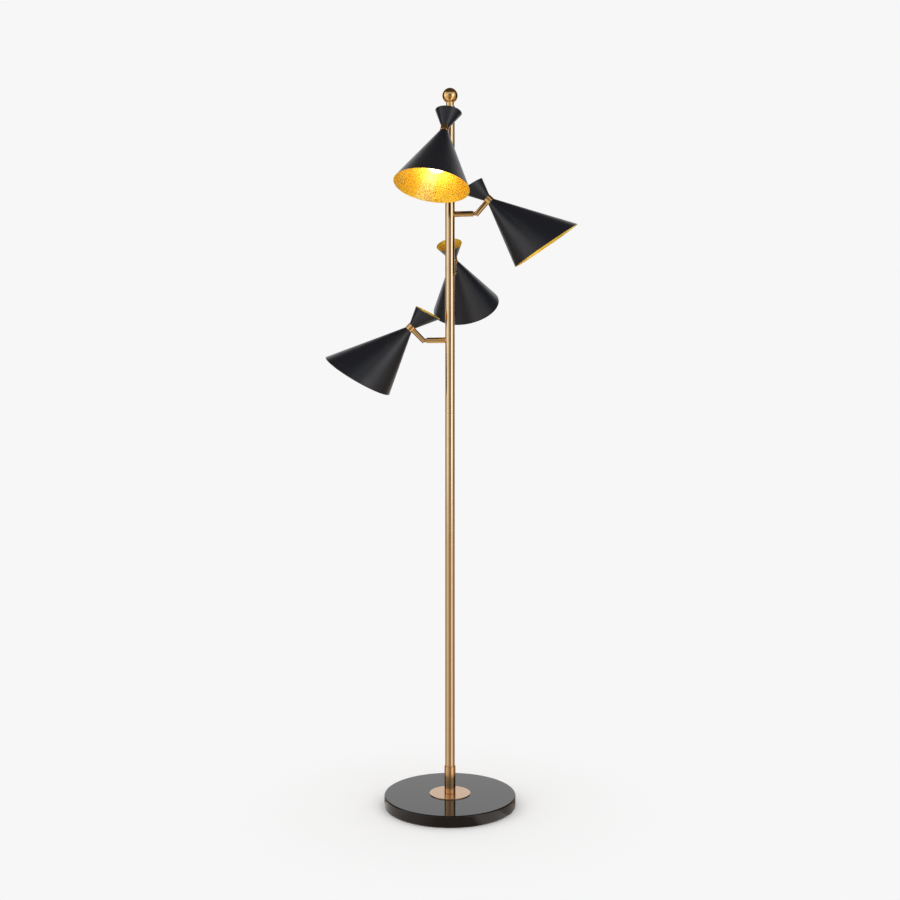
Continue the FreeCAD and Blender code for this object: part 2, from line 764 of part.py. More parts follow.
def rounded_path(points, radii):
    """A wire of straight runs with an arc of the given radius at each inner point."""
    edges, here = [], points[0]
    for before, corner, after, radius in zip(points, points[1:], points[2:], radii):
        inward = (corner - before).normalize()
        onward = (after - corner).normalize()
        turn = inward.getAngle(onward)
        back = radius * math.tan(turn / 2)
        start, end = corner - inward * back, corner + onward * back
        bisector = (onward - inward).normalize()
        top = corner + bisector * (radius / math.cos(turn / 2) - radius)
        edges.append(Part.LineSegment(here, start).toShape())
        edges.append(Part.Arc(start, top, end).toShape())
        here = end
    edges.append(Part.LineSegment(here, points[-1]).toShape())
    return Part.Wire(edges)


def make_pole_wiring():
    """Four leads from a splice block in the pole, each out through its own arm."""
    splice_top = size(f"{JOINT} - splice_drop")
    splice_foot = Vector(0, 0, splice_top - size("splice_length"))
    block_radius = size(f"{POLE_BORE} - wire_clearance")
    solids = [Part.makeCylinder(block_radius, size("splice_length"), splice_foot)]
    spacing = size("lead_spacing")
    for head in HEADS:
        frame = arm_frame(head)
        # Each lead climbs in its own quarter of the pole, behind its arm, so that it
        # passes clear of the leads that climb on to the higher arms.
        rise = frame.Base.z - splice_top
        end = size(f"{FLANGE_BACK} - spigot_length + lead_tail")
        local = [
            Vector(-rise, spacing, -spacing),
            Vector(0, spacing, -spacing),
            Vector(0, 0, spacing / 2),
            Vector(0, 0, end),
        ]
        points = [frame.multVec(point) for point in local]
        bends = (size("lead_bend_radius"), size("lead_exit_radius"))
        path = rounded_path(points, bends)
        ring = Part.Circle(points[0], Vector(0, 0, 1), size("lead_diameter / 2")).toShape()
        lead = path.makePipeShell([Part.Wire([ring])], True, False)
        solids.append(lead)
    wiring = doc.addObject("Part::Feature", "pole_wiring")
    wiring.Shape = Part.Compound(solids)
    wiring.Placement = Placement()
    return wiring


# --- The lamp ----------------------------------------------------------------------------

sub_parts = [
    make_base_pad(),
    make_base_slab(),
    make_cord_grommet(),
    make_base_washer(),
    make_base_nut(),
    make_base_rod(),
    make_base_plate(),
    make_pole_collar(),
    make_pole_lower(),
    make_pole_coupler(),
    make_pole_upper(),
    make_finial_neck(),
    make_finial_ball(),
    group("arm_nipples", [make_arm_nipple(head) for head in HEADS]),
    group("saddle_nuts", [make_saddle_nut(head) for head in HEADS]),
    make_pole_wiring(),
]
for head in HEADS:
    sub_parts += [
        make_arm_tube(head),
        make_knuckle_root(head),
        make_knuckle_screw(head),
        make_head_stem(head),
        make_neck_ring(head),
        make_neck_nipple(head),
        make_shade(head, f"shade_big_{head}", "big_mouth_distance", "big_mouth_slant", 1),
        make_shade(head, f"shade_small_{head}", "small_mouth_distance",
                   "small_mouth_slant", -1),
        make_lampholder(head),
        make_bulb_cap(head),
        make_bulb_glass(head),
    ]
doc.recompute()

for thing in doc.Objects:
    if "Invalid" in thing.State or "Error" in thing.State:
        raise RuntimeError(f"{thing.Label} failed: {thing.State}")
for part in sub_parts:
    if part.Shape.isNull() or not part.Shape.isValid() or not part.Shape.Solids:
        raise RuntimeError(f"{part.Label} has no valid shape")

os.makedirs("parts", exist_ok=True)
for part in sub_parts:
    part.Shape.exportStep(f"parts/{part.Label}.step")
    box = part.Shape.BoundBox
    print(f"{part.Label}: {len(part.Shape.Solids)} solid(s), {part.Shape.Volume:.0f} mm3, "
          f"z {box.ZMin:.1f} to {box.ZMax:.1f}")
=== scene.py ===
import json
import math

import bpy
from mathutils import Matrix, Vector


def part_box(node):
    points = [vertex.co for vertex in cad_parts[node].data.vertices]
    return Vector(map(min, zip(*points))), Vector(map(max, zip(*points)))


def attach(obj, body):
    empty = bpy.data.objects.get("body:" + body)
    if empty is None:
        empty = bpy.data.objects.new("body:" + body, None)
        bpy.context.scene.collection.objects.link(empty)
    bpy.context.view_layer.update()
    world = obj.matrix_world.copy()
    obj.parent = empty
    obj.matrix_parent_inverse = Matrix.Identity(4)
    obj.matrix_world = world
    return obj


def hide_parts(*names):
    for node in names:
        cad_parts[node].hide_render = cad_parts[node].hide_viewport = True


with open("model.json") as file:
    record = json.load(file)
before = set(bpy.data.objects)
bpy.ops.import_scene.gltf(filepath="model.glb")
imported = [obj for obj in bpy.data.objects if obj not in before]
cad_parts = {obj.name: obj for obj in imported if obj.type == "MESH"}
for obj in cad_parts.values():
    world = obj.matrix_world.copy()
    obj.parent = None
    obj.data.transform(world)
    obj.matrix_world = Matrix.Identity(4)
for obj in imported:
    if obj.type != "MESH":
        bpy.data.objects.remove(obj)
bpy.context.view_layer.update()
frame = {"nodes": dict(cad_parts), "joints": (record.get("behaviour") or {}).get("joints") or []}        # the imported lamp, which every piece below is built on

MM = 0.001
weld_distance = 0.001 * MM            # corners nearer than this are one
same_place = 0.01 * MM                # heights nearer than this count as equal

# ---- Camera ------------------------------------------------------------------------------
# It stands level, 2.6 m off and a little to the lamp's right, just above half its height.
# The lens is lowered so that the whole lamp is in the picture.
camera_distance = 2.597
camera_height = 0.8946
camera_side = math.radians(8.11)      # from straight in front, towards the lamp's right
lens_drop = 0.0396                    # share of the picture's width
lens_length = 45.3                    # in mm, over a film 36 mm wide
film_width = 36.0

bpy.ops.object.camera_add(
    location=(camera_distance * math.sin(camera_side),
              -camera_distance * math.cos(camera_side), camera_height),
    rotation=(math.pi / 2, 0, camera_side))
camera = bpy.context.object
camera.data.lens = lens_length
camera.data.sensor_width = film_width
camera.data.shift_y = -lens_drop
bpy.context.scene.camera = camera
bpy.context.scene.view_settings.view_transform = "Standard"

# ---- Studio ------------------------------------------------------------------------------
# A pale floor runs into a pale surround.  Polished things see the pale backdrop behind the
# lamp, the dark gap round it, the dim room in front, a tall bright card on each side, one
# overhead and a dark ceiling.
PALE = (0.93, 0.93, 0.93, 1)
DARK = (0.05, 0.045, 0.04, 1)
OVERHEAD = (0.60, 0.60, 0.60, 1)
WARM_FLOOR = (0.40, 0.29, 0.18, 1)
brightest = 1.7                       # the highest of the tones below
# Each tone stands at its angle in degrees from straight in front, right being plus.
ring_of_tones = ((-180, 0.93), (-152, 0.93), (-138, 0.02), (-98, 0.02), (-90, 1.20),
                 (-58, 1.00), (-30, 0.65), (-12, 0.14), (24, 0.20), (32, brightest),
                 (58, brightest), (64, 0.60), (84, 0.50), (94, 0.02), (138, 0.02),
                 (152, 0.93), (180, 0.93))
card_rise = (0.20, 0.36)              # sines of height over which the overhead card comes in
ceiling_rise = (0.50, 0.72)           # and the ceiling above it
card_side = (0.10, 0.35)              # how far to the front the overhead card starts
shadow_reach = (0.15, 0.55)           # distances over which the lamp's shadow fades
floor_warmth = 0.5
floor_radius = 9
even_light = 0.86
aim_height = 0.9


def node(tree, kind, **settings):
    """A new node, with its properties set by name."""
    made = tree.nodes.new(kind)
    for name, value in settings.items():
        setattr(made, name, value)
    return made


def plug(tree, *wires):
    """Join sockets: each wire is (from, to)."""
    for start, end in wires:
        tree.links.new(start, end)


def ramp(tree, value, low, high, start, end, **settings):
    """Map a value that runs from low to high on to start to end."""
    mapped = node(tree, "ShaderNodeMapRange", **settings)
    for name, number in zip(("From Min", "From Max", "To Min", "To Max"),
                            (low, high, start, end)):
        mapped.inputs[name].default_value = number
    plug(tree, (value, mapped.inputs["Value"]))
    return mapped.outputs["Result"]


def blend_colours(tree, factor, low, high):
    """Mix two colours, each a plain value or another node's output."""
    mix = node(tree, "ShaderNodeMix", data_type="RGBA")
    plug(tree, (factor, mix.inputs["Factor"]))
    for name, colour in (("A", low), ("B", high)):
        if isinstance(colour, bpy.types.NodeSocket):
            plug(tree, (colour, mix.inputs[name]))
        else:
            mix.inputs[name].default_value = (*colour[:3], 1)
    return mix.outputs["Result"]


def towards(azimuth):
    """The level direction from the lamp at an angle from the camera, right being plus."""
    turn = camera_side + math.radians(azimuth)
    return Vector((math.sin(turn), -math.cos(turn), 0))


def make_tones_group():
    """What a polish shows along a direction, by its angle round the lamp and its height."""
    group = bpy.data.node_groups.new("studio tones", "ShaderNodeTree")
    face = group.interface
    face.new_socket("Direction", in_out="INPUT", socket_type="NodeSocketVector")
    face.new_socket("Tone", in_out="OUTPUT", socket_type="NodeSocketColor")
    start = node(group, "NodeGroupInput")
    end = node(group, "NodeGroupOutput")
    shares = []
    for azimuth in (0, 90):
        share = node(group, "ShaderNodeVectorMath", operation="DOT_PRODUCT")
        share.inputs[1].default_value = towards(azimuth)
        plug(group, (start.outputs["Direction"], share.inputs[0]))
        shares.append(share.outputs["Value"])
    front, side = shares
    angle = node(group, "ShaderNodeMath", operation="ARCTAN2")
    around = node(group, "ShaderNodeValToRGB")
    stops = around.color_ramp.elements
    stops.remove(stops[1])
    for degrees, tone in ring_of_tones:
        turn = (degrees + 180) / 360
        stop = stops.new(turn) if turn else stops[0]
        stop.color = (*[tone / brightest] * 3, 1)
    split = node(group, "ShaderNodeSeparateXYZ")
    lit = node(group, "ShaderNodeMath", operation="MULTIPLY")
    scaled = node(group, "ShaderNodeVectorMath", operation="SCALE")
    scaled.inputs["Scale"].default_value = brightest
    plug(group,
         (side, angle.inputs[0]),
         (front, angle.inputs[1]),
         (ramp(group, angle.outputs["Value"], -math.pi, math.pi, 0, 1), around.inputs["Fac"]),
         (around.outputs["Color"], scaled.inputs[0]),
         (start.outputs["Direction"], split.inputs["Vector"]))
    height = split.outputs["Z"]
    plug(group,
         (ramp(group, height, *card_rise, 0, 1), lit.inputs[0]),
         (ramp(group, front, *card_side, 0, 1), lit.inputs[1]),
         (blend_colours(group, ramp(group, height, *ceiling_rise, 0, 1),
                        blend_colours(group, lit.outputs["Value"],
                                      scaled.outputs["Vector"], OVERHEAD), DARK),
          end.inputs["Tone"]))
    return group


studio_tones = make_tones_group()


def make_floor():
    """Wide disc; beyond the shadow it turns evenly into the surround's own tone.  A polish
    shows the ring of tones carried on across it, dimmed and warmed."""
    bpy.ops.object.select_all(action="DESELECT")
    bpy.ops.mesh.primitive_circle_add(vertices=96, radius=floor_radius, fill_type="NGON")
    floor = bpy.context.object
    floor.name = "studio_floor"
    paint = bpy.data.materials.new("studio floor")
    paint.use_nodes = True
    tree = paint.node_tree
    tree.nodes.remove(tree.nodes["Principled BSDF"])
    card = node(tree, "ShaderNodeBsdfDiffuse")
    card.inputs["Color"].default_value = PALE
    glow = node(tree, "ShaderNodeEmission")
    mix = node(tree, "ShaderNodeMixShader")
    rays = node(tree, "ShaderNodeLightPath")
    place = node(tree, "ShaderNodeTexCoord")
    far = node(tree, "ShaderNodeVectorMath", operation="LENGTH")
    way = node(tree, "ShaderNodeVectorMath", operation="NORMALIZE")
    tones = node(tree, "ShaderNodeGroup", node_tree=studio_tones)
    self_lit = node(tree, "ShaderNodeMath", operation="MAXIMUM")
    warmth = node(tree, "ShaderNodeMix", data_type="RGBA")
    warmth.inputs["Factor"].default_value = floor_warmth
    warmth.inputs["B"].default_value = WARM_FLOOR
    plug(tree,
         (place.outputs["Object"], far.inputs[0]),
         (place.outputs["Object"], way.inputs[0]),
         (way.outputs["Vector"], tones.inputs["Direction"]),
         (tones.outputs["Tone"], warmth.inputs["A"]),
         (blend_colours(tree, rays.outputs["Is Glossy Ray"], PALE, warmth.outputs["Result"]),
          glow.inputs["Color"]),
         (ramp(tree, far.outputs["Value"], *shadow_reach, 0, 1,
               interpolation_type="SMOOTHSTEP"), self_lit.inputs[0]),
         (rays.outputs["Is Glossy Ray"], self_lit.inputs[1]),
         (self_lit.outputs["Value"], mix.inputs["Fac"]),
         (card.outputs["BSDF"], mix.inputs[1]),
         (glow.outputs["Emission"], mix.inputs[2]),
         (mix.outputs["Shader"], tree.nodes["Material Output"].inputs["Surface"]))
    floor.data.materials.append(paint)


def soft_box(name, azimuth, distance, height, width, tall, brightness):
    """Area light that faces the lamp; its power follows from its size and brightness.
    A polish shows the ring of tones in its stead."""
    place = towards(azimuth) * distance + Vector((0, 0, height))
    aim = Vector((0, 0, aim_height)) - place
    bpy.ops.object.light_add(type="AREA", location=place,
                             rotation=aim.to_track_quat("-Z", "Y").to_euler())
    box = bpy.context.object
    box.name = name
    box.data.shape = "RECTANGLE"
    box.data.size = width
    box.data.size_y = tall
    box.data.energy = brightness * math.pi * width * tall
    box.visible_camera = False
    box.visible_glossy = False


def make_surround():
    """World light: even and pale on matt surfaces, with the studio's tones in a polish."""
    world = bpy.data.worlds.new("studio")
    bpy.context.scene.world = world
    world.use_nodes = True
    tree = world.node_tree
    even = tree.nodes["Background"]
    even.inputs["Color"].default_value = (1, 1, 1, 1)
    even.inputs["Strength"].default_value = even_light
    backdrop = node(tree, "ShaderNodeBackground")
    backdrop.inputs["Color"].default_value = PALE
    polish = node(tree, "ShaderNodeBackground")
    rays = node(tree, "ShaderNodeLightPath")
    look = node(tree, "ShaderNodeTexCoord")
    tones = node(tree, "ShaderNodeGroup", node_tree=studio_tones)
    mirrored = node(tree, "ShaderNodeMath", operation="MAXIMUM")
    by_polish = node(tree, "ShaderNodeMixShader")
    by_camera = node(tree, "ShaderNodeMixShader")
    plug(tree,
         (look.outputs["Generated"], tones.inputs["Direction"]),
         (tones.outputs["Tone"], polish.inputs["Color"]),
         (rays.outputs["Is Glossy Ray"], mirrored.inputs[0]),
         (rays.outputs["Is Transmission Ray"], mirrored.inputs[1]),
         (mirrored.outputs["Value"], by_polish.inputs["Fac"]),
         (even.outputs["Background"], by_polish.inputs[1]),
         (polish.outputs["Background"], by_polish.inputs[2]),
         (rays.outputs["Is Camera Ray"], by_camera.inputs["Fac"]),
         (by_polish.outputs["Shader"], by_camera.inputs[1]),
         (backdrop.outputs["Background"], by_camera.inputs[2]),
         (by_camera.outputs["Shader"], tree.nodes["World Output"].inputs["Surface"]))


make_floor()
soft_box("soft_box_right", azimuth=46, distance=2.6, height=1.3, width=0.7, tall=2.4,
         brightness=1.5)
soft_box("soft_box_left", azimuth=-66, distance=2.6, height=1.2, width=1.5, tall=2.4,
         brightness=0.9)
soft_box("soft_box_above", azimuth=150, distance=1.2, height=3.2, width=2.0, tall=2.0,
         brightness=0.5)
make_surround()

# ---- Stone base --------------------------------------------------------------------------
# A polished black stone disc with a rounded upper edge.  Below it are a recess for the nut
# and a groove to the back for the cord, and the rod goes through a hole in its middle.
edge_radius = 3 * MM
foot_bevel = 1 * MM
recess_radius = 32 * MM
recess_depth = 13 * MM
rod_hole_radius = 7.05 * MM
groove_side = 11 * MM
stone_even = (0.007, 0.005, 0.005)
stone_black = (0.004, 0.003, 0.003)
stone_cloud = (0.010, 0.007, 0.007)
stone_crystal = (0.022, 0.016, 0.015)


def only(piece):
    """Make a piece the one that is selected and active."""
    bpy.ops.object.select_all(action="DESELECT")
    piece.select_set(True)
    bpy.context.view_layer.objects.active = piece


def apply_modifier(piece, name, kind, **settings):
    only(piece)
    modifier = piece.modifiers.new(name, kind)
    for key, value in settings.items():
        setattr(modifier, key, value)
    bpy.ops.object.modifier_apply(modifier=modifier.name)


def cut_away(piece, tool, operation="DIFFERENCE"):
    """Cut a tool's shape out of a piece, or weld it on."""
    apply_modifier(piece, "tool", "BOOLEAN", operation=operation, object=tool)
    bpy.data.objects.remove(tool)


def round_tool(radius, length, place, turn=(0, 0, 0), sides=64):
    bpy.ops.object.select_all(action="DESELECT")
    bpy.ops.mesh.primitive_cylinder_add(vertices=sides, radius=radius, depth=length,
                                        location=place, rotation=turn)
    return bpy.context.object


def square_tool(sizes, place):
    bpy.ops.object.select_all(action="DESELECT")
    bpy.ops.mesh.primitive_cube_add(size=1, location=place, scale=sizes)
    return bpy.context.object


def soften(piece, width, segments=2):
    """Break the sharp edges, if a width is given, and even out the shading across them."""
    if width:
        apply_modifier(piece, "broken edges", "BEVEL", width=width, segments=segments,
                       limit_method="ANGLE", angle_limit=math.radians(30))
    only(piece)
    bpy.ops.object.shade_smooth_by_angle(angle=math.radians(35))
    apply_modifier(piece, "even shading", "WEIGHTED_NORMAL", keep_sharp=True)


def fit(piece, body, cad_node, slot, *finishes, place=Matrix()):
    """Note the piece's own coordinates for its finish, then put it in its place."""
    own = piece.data.attributes.new("own", "FLOAT_VECTOR", "POINT")
    own.data.foreach_set("vector", [x for v in piece.data.vertices for x in v.co])
    piece.data.transform(place)
    for finish in finishes:
        piece.data.materials.append(finish)
    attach(piece, body)
    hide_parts(cad_node)


def new_finish(name, colour, roughness, metallic=0.0):
    """A material with its even values set on the shader itself."""
    finish = bpy.data.materials.new(name)
    finish.use_nodes = True
    shader = finish.node_tree.nodes["Principled BSDF"]
    shader.inputs["Base Color"].default_value = (*colour, 1)
    shader.inputs["Roughness"].default_value = roughness
    shader.inputs["Metallic"].default_value = metallic
    return finish, finish.node_tree, shader


def own_place(tree):
    return node(tree, "ShaderNodeAttribute", attribute_name="own").outputs["Vector"]


def noise(tree, place, scale, detail=3.0, distortion=0.0):
    cloud = node(tree, "ShaderNodeTexNoise")
    cloud.inputs["Scale"].default_value = scale
    cloud.inputs["Detail"].default_value = detail
    cloud.inputs["Distortion"].default_value = distortion
    plug(tree, (place, cloud.inputs["Vector"]))
    return cloud.outputs["Fac"]


def bump(tree, height, distance, strength=1.0):
    relief = node(tree, "ShaderNodeBump")
    relief.inputs["Distance"].default_value = distance
    relief.inputs["Strength"].default_value = strength
    plug(tree, (height, relief.inputs["Height"]))
    return relief.outputs["Normal"]


def make_handling_group():
    """Faint wipe marks and specks of dust, as masks."""
    group = bpy.data.node_groups.new("handling", "ShaderNodeTree")
    face = group.interface
    face.new_socket("Place", in_out="INPUT", socket_type="NodeSocketVector")
    face.new_socket("Patch Scale", in_out="INPUT", socket_type="NodeSocketFloat")
    face.new_socket("Smudge", in_out="OUTPUT", socket_type="NodeSocketFloat")
    face.new_socket("Dust", in_out="OUTPUT", socket_type="NodeSocketFloat")
    start = node(group, "NodeGroupInput")
    end = node(group, "NodeGroupOutput")
    patches = node(group, "ShaderNodeTexNoise")
    patches.inputs["Detail"].default_value = 4
    patches.inputs["Distortion"].default_value = 0.6
    plug(group,
         (start.outputs["Place"], patches.inputs["Vector"]),
         (start.outputs["Patch Scale"], patches.inputs["Scale"]),
         (ramp(group, patches.outputs["Fac"], 0.42, 0.68, 0, 1), end.inputs["Smudge"]),
         (ramp(group, noise(group, start.outputs["Place"], 900, 2), 0.62, 0.75, 0, 1),
          end.inputs["Dust"]))
    return group


handling = make_handling_group()


def handled(tree, place, patch_scale):
    """The marks of use on a finish, as sockets named Smudge and Dust."""
    marks = node(tree, "ShaderNodeGroup", node_tree=handling)
    marks.inputs["Patch Scale"].default_value = patch_scale
    plug(tree, (place, marks.inputs["Place"]))
    return marks.outputs


def make_stone():
    """Black stone with barely paler crystals and clouds under a mirror polish."""
    finish, tree, shader = new_finish("polished black stone", stone_even, 0.06)
    place = own_place(tree)
    marks = handled(tree, place, 14)
    crystals = node(tree, "ShaderNodeTexVoronoi")
    crystals.inputs["Scale"].default_value = 420
    plug(tree, (place, crystals.inputs["Vector"]))
    clouds = blend_colours(tree, noise(tree, place, 9, detail=6, distortion=0.8),
                           stone_black, stone_cloud)
    flecks = ramp(tree, crystals.outputs["Distance"], 0.05, 0.6, 0.35, 0)
    plug(tree,
         (blend_colours(tree, flecks, clouds, stone_crystal), shader.inputs["Base Color"]),
         (ramp(tree, marks["Smudge"], 0, 1, 0.05, 0.10), shader.inputs["Roughness"]))
    return finish


def make_stone_base():
    low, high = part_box("base_slab")
    radius = high.x
    middle = (low.z + high.z) / 2
    slab = round_tool(radius, high.z - low.z, (0, 0, middle), sides=192)
    slab.name = "stone_disc"
    bpy.ops.object.transform_apply(location=True, rotation=True, scale=True)
    for height, reach, steps in ((high.z, edge_radius, 6), (low.z, foot_bevel, 1)):
        bpy.ops.object.mode_set(mode="EDIT")
        bpy.ops.mesh.select_all(action="DESELECT")
        bpy.ops.object.mode_set(mode="OBJECT")
        for edge in slab.data.edges:
            ends = [slab.data.vertices[v].co for v in edge.vertices]
            edge.select = all(abs(end.z - height) < same_place for end in ends)
        bpy.ops.object.mode_set(mode="EDIT")
        bpy.ops.mesh.bevel(offset=reach, offset_type="OFFSET", segments=steps)
        bpy.ops.object.mode_set(mode="OBJECT")
    cut_away(slab, round_tool(recess_radius, 2 * recess_depth, (0, 0, low.z), sides=128))
    cut_away(slab, round_tool(rod_hole_radius, 4 * high.z, (0, 0, middle)))
    cut_away(slab, square_tool((groove_side, radius, 2 * groove_side),
                               (0, radius / 2 + rod_hole_radius, low.z)))
    soften(slab, 0)
    fit(slab, "stand", "base_slab", "black_stone", make_stone())


make_stone_base()

# ---- Felt pad and cord bush --------------------------------------------------------------
# A disc of black felt is glued under the stone, and a rubber block with a round hole fills
# the mouth of the cord's groove at the back.
pad_lip = 0.2 * MM
cord_hole_radius = 3.5 * MM


def turned(name, outline, sides, ends="joined"):
    """Draw a ring out along an outline of (radius, height) points, as a lathe turns it.
    Its ends are joined to each other, capped or left open."""
    radius, height = outline[0]
    bpy.ops.object.select_all(action="DESELECT")
    bpy.ops.mesh.primitive_circle_add(vertices=sides, radius=radius,
                                      fill_type="NGON" if ends == "capped" else "NOTHING")
    piece = bpy.context.object
    piece.name = name
    bpy.ops.object.mode_set(mode="EDIT")
    bpy.ops.transform.translate(value=(0, 0, height))
    for far, up in outline[1:] + (outline[:1] if ends == "joined" else []):
        bpy.ops.mesh.extrude_region_move(
            TRANSFORM_OT_translate={"value": (0, 0, up - height)})
        bpy.ops.transform.resize(value=(far / radius, far / radius, 1),
                                 center_override=(0, 0, 0))
        radius, height = far, up
    bpy.ops.mesh.select_all(action="SELECT")
    bpy.ops.mesh.remove_doubles(threshold=weld_distance)
    bpy.ops.mesh.normals_make_consistent(inside=False)
    bpy.ops.object.mode_set(mode="OBJECT")
    return piece


def make_felt():
    """Pressed wool: matted fibres, with a soft sheen."""
    finish, tree, shader = new_finish("black felt", (0.02, 0.02, 0.02), 0.95)
    shader.inputs["Sheen Weight"].default_value = 0.4
    fibres = noise(tree, own_place(tree), 1800, detail=5, distortion=2.5)
    plug(tree,
         (blend_colours(tree, fibres, (0.010, 0.010, 0.011), (0.045, 0.045, 0.047)),
          shader.inputs["Base Color"]),
         (bump(tree, fibres, 0.3 * MM), shader.inputs["Normal"]))
    return finish


def make_felt_pad():
    low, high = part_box("base_pad")
    pad = turned("felt_disc", [
        (high.x - pad_lip, low.z), (high.x, low.z + pad_lip), (high.x, high.z - pad_lip),
        (high.x - pad_lip, high.z)], 160, ends="capped")
    soften(pad, 0)
    fit(pad, "stand", "base_pad", "felt", make_felt())


def make_rubber():
    """Moulded black rubber with a fine matt grain."""
    finish, tree, shader = new_finish("black rubber", (0.018, 0.018, 0.018), 0.6)
    place = own_place(tree)
    marks = handled(tree, place, 60)
    plug(tree,
         (ramp(tree, marks["Smudge"], 0, 1, 0.52, 0.7), shader.inputs["Roughness"]),
         (blend_colours(tree, marks["Dust"], (0.016, 0.016, 0.016), (0.05, 0.05, 0.048)),
          shader.inputs["Base Color"]),
         (bump(tree, noise(tree, place, 2600, 2), 0.05 * MM), shader.inputs["Normal"]))
    return finish


def make_cord_bush():
    low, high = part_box("cord_grommet")
    middle = (low + high) / 2
    bush = square_tool(high - low, middle)
    bush.name = "cord_bush"
    bpy.ops.object.transform_apply(location=True, rotation=True, scale=True)
    cut_away(bush, round_tool(cord_hole_radius, 3 * (high.y - low.y), middle,
                              (math.pi / 2, 0, 0)))
    soften(bush, 0.5 * MM, 3)
    fit(bush, "stand", "cord_grommet", "black_rubber", make_rubber())


make_felt_pad()
make_cord_bush()

# ---- Brass plate and collar --------------------------------------------------------------
# A thin turned plate lies on the stone and hides the hole.  The collar stands on it: a
# socket that screws down on the rod and takes the foot of the pole.
plate_bevel = 0.6 * MM
rod_thread_radius = 6.05 * MM
collar_floor = 9 * MM
collar_bevel = 0.6 * MM
pole_clearance = 0.05 * MM


def make_brushing_group():
    """Fine lines round a turned piece's own Z axis, left by the polishing belt."""
    group = bpy.data.node_groups.new("brushing", "ShaderNodeTree")
    face = group.interface
    face.new_socket("Place", in_out="INPUT", socket_type="NodeSocketVector")
    face.new_socket("Fineness", in_out="INPUT", socket_type="NodeSocketFloat")
    face.new_socket("Lines", in_out="OUTPUT", socket_type="NodeSocketFloat")
    start = node(group, "NodeGroupInput")
    end = node(group, "NodeGroupOutput")
    split = node(group, "ShaderNodeSeparateXYZ")
    joined = node(group, "ShaderNodeCombineXYZ")
    plug(group, (start.outputs["Place"], split.inputs["Vector"]))
    for axis in "XYZ":
        stretch = node(group, "ShaderNodeMath", operation="MULTIPLY")
        stretch.inputs[1].default_value = 60
        plug(group,
             (split.outputs[axis], stretch.inputs[0]),
             (stretch.outputs["Value"], joined.inputs[axis]))
        if axis == "Z":
            plug(group, (start.outputs["Fineness"], stretch.inputs[1]))
    plug(group, (noise(group, joined.outputs["Vector"], 1, 3), end.inputs["Lines"]))
    return group


brushing = make_brushing_group()


def make_brass(name, pale, deep, fineness, smooth, rough):
    """Satin brass: brushed lines and a little tarnish in patches, under clear lacquer."""
    finish, tree, shader = new_finish(name, pale, smooth, metallic=1.0)
    place = own_place(tree)
    marks = handled(tree, place, 26)
    brushed = node(tree, "ShaderNodeGroup", node_tree=brushing)
    brushed.inputs["Fineness"].default_value = fineness
    tone = node(tree, "ShaderNodeMath", operation="MULTIPLY")
    lines = brushed.outputs["Lines"]
    plug(tree,
         (place, brushed.inputs["Place"]),
         (lines, tone.inputs[0]),
         (ramp(tree, marks["Smudge"], 0, 1, 0.25, 0.7), tone.inputs[1]),
         (blend_colours(tree, tone.outputs["Value"], pale, deep),
          shader.inputs["Base Color"]),
         (ramp(tree, lines, 0, 1, smooth, rough), shader.inputs["Roughness"]),
         (bump(tree, lines, 0.02 * MM, 0.12), shader.inputs["Normal"]))
    return finish


# The plate and collar take copies of the satin brass made redder, and darker on the plate: a
# painted warm reflection, with painted shade on the plate.
plate_brass_painted_shade_and_reflection = make_brass("rose brass", (0.64, 0.43, 0.28), (0.54, 0.34, 0.20),
                        2400, 0.16, 0.28)
collar_brass_painted_reflection = make_brass("collar brass with painted reflection", (0.88, 0.55, 0.28), (0.70, 0.38, 0.16),
                       2400, 0.12, 0.20)


def make_plate_and_collar():
    low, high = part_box("base_plate")
    plate = turned("foot_plate", [
        (rod_thread_radius, low.z), (high.x, low.z), (high.x, high.z - plate_bevel),
        (high.x - plate_bevel, high.z), (rod_thread_radius, high.z)], 144)
    soften(plate, 0.12 * MM)
    fit(plate, "stand", "base_plate", "brushed_brass", plate_brass_painted_shade_and_reflection)
    low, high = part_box("pole_collar")
    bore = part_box("pole_lower")[1].x + pole_clearance
    collar = turned("foot_collar", [
        (rod_thread_radius, low.z), (high.x - collar_bevel, low.z),
        (high.x, low.z + collar_bevel), (high.x, high.z - collar_bevel),
        (high.x - collar_bevel, high.z), (bore, high.z), (bore, low.z + collar_floor),
        (rod_thread_radius, low.z + collar_floor)], 96)
    soften(collar, 0.12 * MM)
    fit(collar, "stand", "pole_collar", "brushed_brass", collar_brass_painted_reflection)


make_plate_and_collar()

# ---- Pole --------------------------------------------------------------------------------
# Two lengths of satin brass tube, screwed together with a fine bevelled line between them.
# The upper one has a side hole behind each arm.
HEADS = (1, 2, 3, 4)
pole_wall = 1.5 * MM
joint_bevel = 0.4 * MM
side_hole_radius = 5.0 * MM
brass = make_brass("satin brass", (0.88, 0.63, 0.37), (0.70, 0.46, 0.24), 1900, 0.12, 0.20)
gold_brass = make_brass("gold brass", (0.95, 0.61, 0.27), (0.78, 0.44, 0.14), 1900, 0.08, 0.15)
hinges = {joint["name"]: joint for joint in frame["joints"]}


def arm_frame(head):
    """On the pole's axis at an arm's height: Z along the arm, X straight up."""
    out = Vector(hinges[f"arm_roll_{head}"]["axis"])
    up = Vector((0, 0, 1))
    height = hinges[f"arm_roll_{head}"]["pos_m"][2]
    turn = Matrix((up, out.cross(up), out)).transposed().to_4x4()
    return Matrix.Translation((0, 0, height)) @ turn


